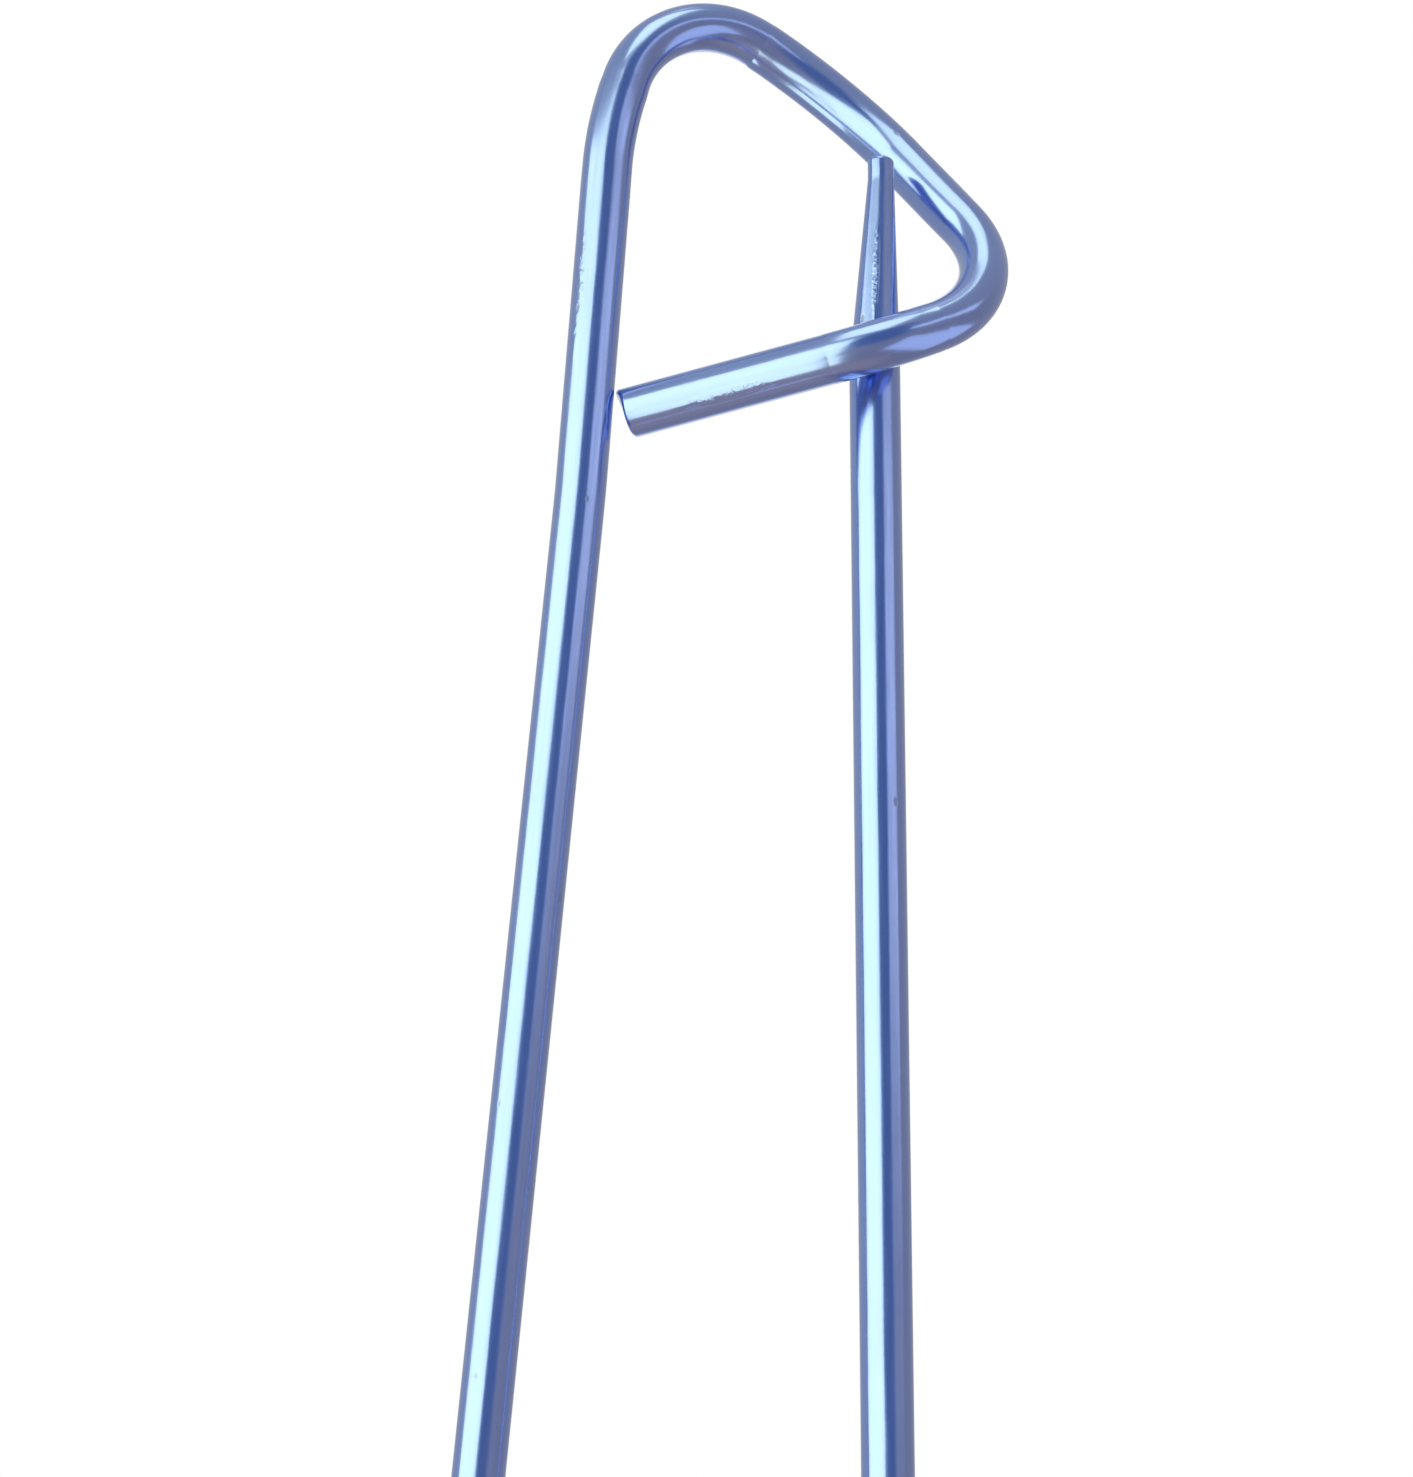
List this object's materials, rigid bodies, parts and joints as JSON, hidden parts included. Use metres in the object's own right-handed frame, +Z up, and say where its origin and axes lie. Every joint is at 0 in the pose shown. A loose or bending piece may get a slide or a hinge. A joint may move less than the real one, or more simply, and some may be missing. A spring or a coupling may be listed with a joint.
{
  "type": "stitch holder",
  "caption": "Pin bent from anodised aluminium wire, with a blunt sprung needle that carries knitting stitches and is kept shut by a bent-over head.",
  "frame": {"origin": "centre of the spring bend at the lower end, in the plane of the two arms", "axes": "+Z up to the head, +X from the frame arm to the needle, -Y towards the side where the keeper bar passes in front of the needle"},
  "size_m": [0.0311, 0.0103, 0.1602],
  "materials": {
    "anodised_wire": "bright blue anodised"
  },
  "bodies": {
    "frame": {"spring_bend_frame_side": "anodised_wire", "frame_arm": "anodised_wire", "crown_bend": "anodised_wire", "catch_bar": "anodised_wire", "corner_bend": "anodised_wire", "keeper_bar": "anodised_wire"},
    "spring": {"spring_bend_needle_side": "anodised_wire"},
    "needle": {"needle_arm": "anodised_wire", "needle_point": "anodised_wire"}
  },
  "joints": [
    {"name": "needle_squeeze", "type": "hinge", "parent": "frame", "child": "spring", "pos_m": [0, 0, -0.0137], "axis": [-0.2924, -0.9563, 0], "range_deg": [0, 4.5], "stiffness_Nm_per_rad": 2.2},
    {"name": "needle_release", "type": "hinge", "parent": "spring", "child": "needle", "pos_m": [0.01368, 0, 0.00077], "axis": [-0.8192, -0.5736, 0], "range_deg": [0, 9], "stiffness_Nm_per_rad": 3.5}
  ]
}
